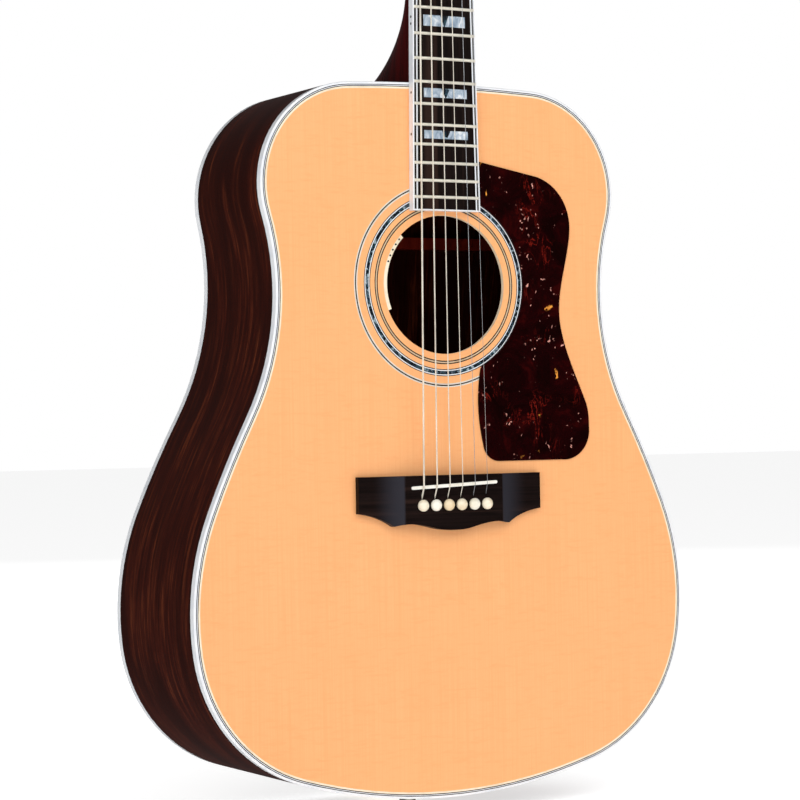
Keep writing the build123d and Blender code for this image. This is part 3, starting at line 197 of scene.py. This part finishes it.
def ebony(name, stretch, wing=None):
    """Near-black wood with faint brown-grey lines; beyond wing a painted bluish-grey reflection pales it,
    as on a bridge's wings.
    """
    wood = Surface(name, tone(26, 18, 17), 0.5, specular=0.08)
    grain = wood.noise(wood.stretched(stretch), scale=500, detail=4, roughness=0.6, distortion=0.2)
    lines = wood.noise(wood.stretched(stretch), scale=110, detail=2, roughness=0.5, distortion=0.3)
    base = wood.ramp(grain, (0.35, tone(12, 6, 5)), (0.65, tone(28, 17, 15)))
    lined = wood.mix(wood.mask(lines, 0.58, 0.75), base, tone(48, 32, 27))
    if wing:
        across = wood.new("ShaderNodeSeparateXYZ", {"Vector": wood.place}).outputs["X"]
        reach = wood.maths("ABSOLUTE", across)
        # painted reflection: past the wings' start the colour fades to bluish-grey, standing in for light
        # off their facets
        wing_reflection = wood.maths("MULTIPLY", wood.mask(reach, wing + WING_FADE, wing),
                            wood.mask(reach, wing - WING_EDGE, wing))
        lined = wood.mix(wing_reflection, lined, tone(46, 45, 52))
    wood.colour(lined)
    wood.roughness(wood.span(grain, 0.36, 0.5))
    wood.relief(grain, distance=0.00003, strength=0.35)
    return wood.material


def mahogany(name, dark, light, gloss):
    """Straight-grained reddish wood with short dark pores, for the neck and the blocks."""
    wood = Surface(name, dark, 0.5 - 0.2 * gloss, specular=0.05, coat_weight=0.02 * gloss,
                   coat_roughness=0.08)
    grain = wood.noise(wood.stretched((1, 1, 0.04)), scale=160, detail=4, roughness=0.6, distortion=0.4)
    pores = wood.noise(wood.stretched((1, 1, 0.09)), scale=900, detail=2, roughness=0.5)
    base = wood.mix(wood.mask(grain, 0.35, 0.68), dark, light)
    wood.colour(wood.mix(wood.mask(pores, 0.64, 0.72), base, tuple(c * 0.3 for c in dark)))
    wood.roughness(wood.span(grain, 0.42 - 0.2 * gloss, 0.55 - 0.2 * gloss))
    wood.relief(pores, distance=0.00004, strength=0.3)
    return wood.material


def raw_spruce(name, stretch):
    """Unfinished brace wood inside the body."""
    wood = Surface(name, tone(206, 160, 108), 0.75)
    grain = wood.noise(wood.stretched(stretch), scale=420, detail=3, roughness=0.6, distortion=0.3)
    wood.colour(wood.ramp(grain, (0.35, tone(176, 126, 78)), (0.65, tone(216, 172, 120))))
    wood.roughness(wood.span(grain, 0.68, 0.85))
    wood.relief(grain, distance=0.00008, strength=0.4)
    return wood.material


# ---------------------------------------------------------------- plastics, bone and shell
def plastic(name, light, dark, roughness=0.2, coat=0.3):
    """Smooth plastic or bone: faint clouding and the finest scratches in its gloss."""
    skin = Surface(name, light, roughness, coat_weight=coat, coat_roughness=0.05)
    cloud = skin.noise(skin.place, scale=90, detail=3, roughness=0.6)
    scratch = skin.noise(skin.stretched((1, 1, 0.15)), scale=1400, detail=3, roughness=0.7)
    skin.colour(skin.mix(skin.mask(cloud, 0.42, 0.72), light, dark))
    skin.roughness(skin.span(scratch, roughness * 0.85, roughness * 1.35))
    skin.relief(scratch, distance=0.00001, strength=0.15)
    return skin.material


def tortoise():
    """Polished plate, almost black maroon, with red wisps and amber and pale flecks."""
    plate = Surface("tortoise", tone(36, 4, 4), 0.2, specular=0.08, coat_weight=0.03, coat_roughness=0.04)
    drift = plate.noise(plate.place, scale=34, detail=6, roughness=0.7, distortion=1.4)
    base = plate.ramp(drift, (0.36, tone(14, 0, 0)), (0.54, tone(26, 0, 1)), (0.66, tone(46, 2, 2)),
                      (0.80, tone(84, 10, 7)))
    lean = (0, radians(38), 0)
    flow = plate.noise(plate.stretched((1, 1, 0.45), lean),
                       scale=60, detail=5, roughness=0.62, distortion=2.2)
    ridge = plate.maths("ABSOLUTE", plate.maths("SUBTRACT", flow, 0.5))
    patches = plate.noise(plate.place, scale=30, detail=2, roughness=0.5)
    wisps = plate.maths("MULTIPLY", plate.mask(ridge, 0.016, 0.003), plate.mask(patches, 0.52, 0.68))
    red = plate.mix(wisps, base, tone(118, 26, 16))
    swirl = plate.new("ShaderNodeTexNoise", {"Vector": plate.place, "Scale": 90.0, "Detail": 3.0})
    bent = plate.mix(0.010, plate.place, swirl.outputs["Color"], "LINEAR_LIGHT")
    slivers = plate.cells(plate.stretched((1.0, 0.3, 0.20), lean, bent), scale=100)
    where = plate.noise(plate.place, scale=44, detail=2, roughness=0.5)
    amber = plate.maths("MULTIPLY", plate.mask(slivers, 0.15, 0.07), plate.mask(where, 0.52, 0.57))
    lit = plate.mix(amber, red, tone(255, 168, 70))
    specks = plate.cells(plate.stretched((1, 0.4, 0.8), (0, radians(20), 0), bent), scale=250)
    sparse = plate.noise(plate.place, scale=120, detail=2, roughness=0.5)
    pale = plate.maths("MULTIPLY", plate.mask(specks, 0.24, 0.08), plate.mask(sparse, 0.53, 0.64))
    plate.colour(plate.mix(pale, lit, tone(240, 170, 155)))
    plate.roughness(plate.span(drift, 0.14, 0.24))
    plate.relief(drift, distance=0.00002, strength=0.1)
    return plate.material


def pearl():
    """Mother of pearl: pale bands that drift between silver, rose and blue-grey."""
    shell = Surface("pearl", tone(214, 218, 222), 0.18, coat_weight=0.5, coat_roughness=0.04)
    sweep = shell.noise(shell.stretched((1, 1, 0.5), (0, radians(25), 0)),
                        scale=130, detail=4, roughness=0.6, distortion=1.8)
    shell.colour(shell.ramp(sweep, (0.34, tone(122, 140, 158)), (0.47, tone(164, 180, 196)),
                            (0.56, tone(190, 202, 214)), (0.66, tone(236, 238, 240))))
    shell.roughness(shell.span(sweep, 0.12, 0.26))
    shell.relief(sweep, distance=0.00002, strength=0.2)
    return shell.material


def abalone(name, scale):
    """Dark shell with teal, green and violet flakes."""
    shell = Surface(name, tone(40, 70, 78), 0.15, coat_weight=0.6, coat_roughness=0.03)
    flakes = shell.cells(shell.stretched((1, 0.3, 1)), scale=scale, output="Color")
    pick = shell.new("ShaderNodeSeparateColor", {"Color": flakes}).outputs["Red"]
    veins = shell.noise(shell.place, scale=scale * 1.7, detail=4, roughness=0.6, distortion=1.6)
    base = shell.ramp(pick, (0.05, tone(8, 12, 18)), (0.45, tone(18, 34, 44)), (0.62, tone(52, 86, 98)),
                      (0.80, tone(26, 30, 50)), (0.97, tone(150, 170, 180)))
    shell.colour(shell.mix(shell.mask(veins, 0.5, 0.66), base, tone(10, 14, 18)))
    shell.roughness(shell.span(veins, 0.1, 0.22))
    shell.relief(veins, distance=0.00002, strength=0.15)
    return shell.material


# ---------------------------------------------------------------- metals
def metal(name, colour, roughness, scale=700, stretch=(1, 1, 1), metallic=1.0):
    """Metal with fine handling marks in its polish."""
    skin = Surface(name, colour, roughness, metallic=metallic)
    marks = skin.noise(skin.stretched(stretch), scale=scale, detail=4, roughness=0.65)
    haze = skin.noise(skin.place, scale=60, detail=2, roughness=0.5)
    skin.colour(skin.mix(skin.mask(haze, 0.4, 0.75), colour, tuple(c * 0.86 for c in colour)))
    skin.roughness(skin.span(marks, roughness * 0.7, roughness * 1.5))
    skin.relief(marks, distance=0.00001, strength=0.2)
    return skin.material


def wound_wire(name, colour):
    """Bronze wrap wire: close turns across the string."""
    skin = Surface(name, colour, 0.3, metallic=0.35)
    turns = skin.bands(skin.stretched((0, 0, 1)), scale=1100, direction="Z")
    tarnish = skin.noise(skin.stretched((1, 1, 0.2)), scale=180, detail=3, roughness=0.6)
    skin.colour(skin.mix(skin.mask(tarnish, 0.4, 0.7), colour, tuple(c * 0.75 for c in colour)))
    skin.roughness(skin.span(turns, 0.22, 0.42))
    skin.relief(turns, distance=0.00006, strength=0.6)
    return skin.material


# ---------------------------------------------------------------- putting materials on nodes
def paint(names, material):
    for name in names:
        mesh = nodes[name].data
        mesh.materials.clear()
        mesh.materials.append(material)
        for face in mesh.polygons:
            face.material_index = 0


def solids(name):
    """The separate solids of a node: for each, its faces and its vertex places."""
    mesh = nodes[name].data
    places = np.array([vertex.co for vertex in mesh.vertices])
    _, same = np.unique(np.round(places, 6), axis=0, return_inverse=True)
    same = same.ravel()
    root = list(range(same.max() + 1))

    def find(item):
        while root[item] != item:
            root[item] = root[root[item]]
            item = root[item]
        return item

    for face in mesh.polygons:
        first = find(same[face.vertices[0]])
        for vertex in face.vertices[1:]:
            root[find(same[vertex])] = first
    groups = {}
    for face in mesh.polygons:
        groups.setdefault(find(same[face.vertices[0]]), []).append(face)
    return [(faces, places[[v for face in faces for v in face.vertices]]) for faces in groups.values()]


def paint_solids(name, materials, choose):
    """Gives each solid of a node the material that choose picks from its vertex places."""
    mesh = nodes[name].data
    mesh.materials.clear()
    for material in materials:
        mesh.materials.append(material)
    for faces, places in solids(name):
        index = choose(places)
        for face in faces:
            face.material_index = index


def ranked(name, measure):
    """A chooser's helper: the rank of a solid when the node's solids are sorted by a measure."""
    order = sorted(measure(places) for _, places in solids(name))
    return lambda places: min(range(len(order)), key=lambda rank: abs(order[rank] - measure(places)))


def width(places):
    return float(np.ptp(places[:, 0]))


white = plastic("white_binding", tone(240, 242, 245), tone(228, 232, 238))
black = plastic("black_fibre", tone(16, 15, 16), tone(26, 24, 24), 0.25)
cream = plastic("cream_strip", tone(248, 234, 208), tone(238, 220, 190))
grey = plastic("grey_strip", tone(214, 188, 156), tone(196, 168, 134))
smoke = plastic("smoke_strip", tone(58, 54, 50), tone(44, 42, 40))
ivory = plastic("ivory_strip", tone(232, 226, 214), tone(218, 210, 196))
bone = plastic("bone", tone(246, 243, 234), tone(234, 228, 212), 0.25)
pin_cream = plastic("pin_cream", tone(246, 236, 212), tone(236, 220, 188), 0.28)
pin_ivory = plastic("pin_ivory", tone(248, 244, 230), tone(238, 230, 208), 0.28)
pin_honey = plastic("pin_honey", tone(240, 220, 184), tone(230, 206, 164), 0.28)
chrome = metal("chrome", tone(222, 224, 228), 0.14, metallic=0.72)
fret_metal = metal("fret_metal", tone(246, 240, 224), 0.3, metallic=0.25)
steel = metal("steel", tone(150, 150, 154), 0.35)
plain_wire = metal("plain_wire", tone(206, 208, 212), 0.22, 900, (1, 1, 0.1), 0.6)
bronze_wire = wound_wire("bronze_wire", tone(250, 242, 226))
brass = metal("brass", tone(206, 170, 96), 0.28)
spruce_top = spruce()
side_wood = rosewood("rosewood_side", (0.05, 1, 0.05), (0.16, 1, 0.16))
back_wood = rosewood("rosewood_back", (1, 0.5, 0.03), (1, 0.5, 0.10), mirrored=True)
board_wood = ebony("ebony_board", (1, 1, 0.03))
bridge_wood = ebony("ebony_bridge", (0.03, 1, 1), wing=WING_START)
neck_wood = mahogany("neck_mahogany", tone(44, 0, 0), tone(70, 2, 2), 1.0)
block_wood = mahogany("block_mahogany", tone(120, 62, 38), tone(154, 88, 56), 0.0)
brace_wood = raw_spruce("brace_spruce", (1, 1, 0.3))
lining_wood = raw_spruce("lining_cedar", (0.1, 1, 0.1))
shell_ring = abalone("abalone_ring", 520)
shell_wedge = abalone("abalone_wedge", 260)

paint(["soundboard"], spruce_top)
paint(["bass_side", "treble_side"], side_wood)
paint(["back_bass_half", "back_treble_half"], back_wood)
paint(["back_center_strip", "tail_wedge"], cream)
paint(["top_binding", "back_binding", "fingerboard_binding", "heel_cap"], white)
paint(["side_dots", "truss_rod_cover"], black)
paint(["pickguard"], tortoise())
paint(["bridge"], bridge_wood)
paint(["fingerboard", "headstock_veneer"], board_wood)
paint(["neck"], neck_wood)
paint(["neck_block", "tail_block"], block_wood)
paint(["linings"], lining_wood)
paint(["x_braces", "upper_transverse_brace", "tone_and_finger_braces", "bridge_plate"], brace_wood)
paint(["back_braces"], mahogany("brace_mahogany", tone(104, 22, 10), tone(128, 34, 18), 0.0))
paint(["saddle", "nut"], bone)
paint(["undersaddle_pickup"], brass)
paint(["frets"], fret_metal)
paint(["truss_rod"], steel)
paint(["tuner_housings", "tuner_bushings", "headstock_screws", "endpin_jack"], chrome)

# the six pins were never a matched set
for number, material in enumerate([pin_cream, pin_ivory, pin_honey, pin_cream, pin_ivory, pin_cream], 1):
    paint([f"bridge_pin_{number}"], material)

# inlaid lines: strips counted from the middle outwards, or from the widest inwards
STRIP_ORDER = [0, 1, 0, 0, 2, 3, 2, 0, 5, 4, 5]
ring_rank = ranked("rosette", width)
paint_solids("rosette", [black, grey, white, shell_ring, smoke, ivory],
             lambda places: STRIP_ORDER[ring_rank(places)])
top_rank = ranked("top_purfling", width)
paint_solids("top_purfling", [black, white, cream], lambda places: (2, 0, 1, 0)[top_rank(places)])
line_rank = ranked("back_and_side_purfling", width)
paint_solids("back_and_side_purfling", [black, white], lambda places: (0, 1, 0, 0, 0)[line_rank(places)])
board_rank = ranked("fingerboard_purfling", lambda places: abs(float(np.mean(places[:, 0]))))
paint_solids("fingerboard_purfling", [white, black], lambda places: board_rank(places) // 2)

# the soundhole's cut wall is unlacquered and painted pale cream, a painted highlight along the hole's edge
soundboard = nodes["soundboard"].data
soundboard.materials.append(plastic("soundhole_painted_highlight", tone(255, 232, 200), tone(250, 218, 180), 0.5, 0.0))
for face in soundboard.polygons:
    from_centre = face.center - HOLE_CENTRE
    if abs(face.normal.y) < 0.5 and Vector((from_centre.x, from_centre.z)).length < HOLE_REACH:
        face.material_index = 1

paint_solids("block_inlays", [pearl(), shell_wedge],
             lambda places: int(abs(places[:, 0].min() + places[:, 0].max()) / 2 < WEDGE_REACH))
paint_solids("control_strip", [cream, black], lambda places: int(np.ptp(places[:, 2]) < DOT_SIZE))


def string_metal(places):
    """Ball ends are brass, the four low strings wound, the two high ones plain."""
    if np.ptp(places[:, 2]) < BALL_SIZE:
        return 0
    at_bridge = places[places[:, 2].argmin()][0]
    return 1 if at_bridge < PLAIN_START else 2


paint_solids("strings", [brass, bronze_wire, plain_wire], string_metal)
for number in range(1, 7):
    wire = bronze_wire if number <= WOUND_STRINGS else plain_wire
    paint_solids(f"tuner_post_{number}", [chrome, wire],
                 lambda places: int(np.ptp(places[:, 1]) < TURN_HEIGHT))
    paint([f"tuner_button_{number}"], chrome)


# ---------------------------------------------------------------- floor, lights and camera
def plain(name, colour, roughness, glow):
    """Pale studio floor with a little light of its own, so that it stays nearly white."""
    surface = Surface(name, colour, roughness, emission_color=(*colour, 1), emission_strength=glow)
    speckle = surface.noise(surface.place, scale=3, detail=2)
    surface.colour(surface.mix(surface.span(speckle, 0.0, 0.1), colour, tuple(c * 0.96 for c in colour)))
    return surface.material


FLOOR_SIZE = 30.0
FLOOR_TONE = 0.92
floor_z = cad_box[0][2]
bpy.ops.mesh.primitive_plane_add(size=FLOOR_SIZE, location=(0, 0, floor_z))
floor = bpy.context.active_object
floor.name = "floor"
floor.data.materials.append(plain("pale_floor", (FLOOR_TONE,) * 3, roughness=0.9, glow=0.72))
floor.visible_glossy = False


def aim(thing, target):
    thing.rotation_euler = (Vector(target) - thing.location).to_track_quat("-Z", "Y").to_euler()


def soft_light(name, place, target, size, power):
    lamp = bpy.data.lights.new(name, "AREA")
    lamp.shape = "SQUARE"
    lamp.size = size
    lamp.energy = power
    thing = bpy.data.objects.new(name, lamp)
    bpy.context.scene.collection.objects.link(thing)
    thing.location = place
    aim(thing, target)
    return thing


BODY_MIDDLE = (0, 0, 0.3)
LIGHT_SIZE = 1.8
soft_light("key", (0.6, -2.6, 2.0), BODY_MIDDLE, LIGHT_SIZE, power=25)
soft_light("fill", (-2.6, -1.8, 1.2), BODY_MIDDLE, LIGHT_SIZE, power=23)
soft_light("back", (1.2, 2.6, 1.8), BODY_MIDDLE, LIGHT_SIZE, power=30).visible_glossy = False

CEILING_PLACE = (-0.9, -2.4, 2.6)
CEILING_SPREAD = radians(70)
CEILING_POWER = 0.92
sun = bpy.data.lights.new("ceiling", "SUN")
sun.angle = CEILING_SPREAD
sun.energy = CEILING_POWER
ceiling = bpy.data.objects.new("ceiling", sun)
bpy.context.scene.collection.objects.link(ceiling)
ceiling.location = CEILING_PLACE
aim(ceiling, BODY_MIDDLE)

# the camera sees a white backdrop that lights the guitar only a little
BACKDROP, ROOM_LIGHT = 1.0, 0.10
world = bpy.data.worlds.new("studio")
bpy.context.scene.world = world
world.use_nodes = True
sky = world.node_tree
background = sky.nodes["Background"]
background.inputs["Color"].default_value = (1, 1, 1, 1)
rays = sky.nodes.new("ShaderNodeLightPath")
strength = sky.nodes.new("ShaderNodeMapRange")
strength.inputs["To Min"].default_value = ROOM_LIGHT
strength.inputs["To Max"].default_value = BACKDROP
sky.links.new(rays.outputs["Is Camera Ray"], strength.inputs["Value"])
sky.links.new(strength.outputs["Result"], background.inputs["Strength"])
bpy.context.scene.view_settings.view_transform = "Standard"

CAMERA_PLACE = (-0.96436, -1.72946, 0.27809)
CAMERA_YAW, CAMERA_PITCH, CAMERA_ROLL = radians(-29.136), radians(-0.479), radians(-1.0015)
CAMERA_LENS = 116.69
CAMERA_SENSOR = 36
CAMERA_REACH = 100
camera = bpy.data.objects.new("camera", bpy.data.cameras.new("camera"))
bpy.context.scene.collection.objects.link(camera)
camera.data.sensor_width = CAMERA_SENSOR
camera.data.lens = CAMERA_LENS
camera.data.clip_end = CAMERA_REACH
backward = Vector((sin(CAMERA_YAW) * cos(CAMERA_PITCH), -cos(CAMERA_YAW) * cos(CAMERA_PITCH),
                   sin(CAMERA_PITCH)))
level = Vector((cos(CAMERA_YAW), sin(CAMERA_YAW), 0))
upright = backward.cross(level)
right = level * cos(CAMERA_ROLL) + upright * sin(CAMERA_ROLL)
up = upright * cos(CAMERA_ROLL) - level * sin(CAMERA_ROLL)
camera.matrix_world = Matrix.Translation(CAMERA_PLACE) @ Matrix((right, up, backward)).transposed().to_4x4()
bpy.context.scene.camera = camera
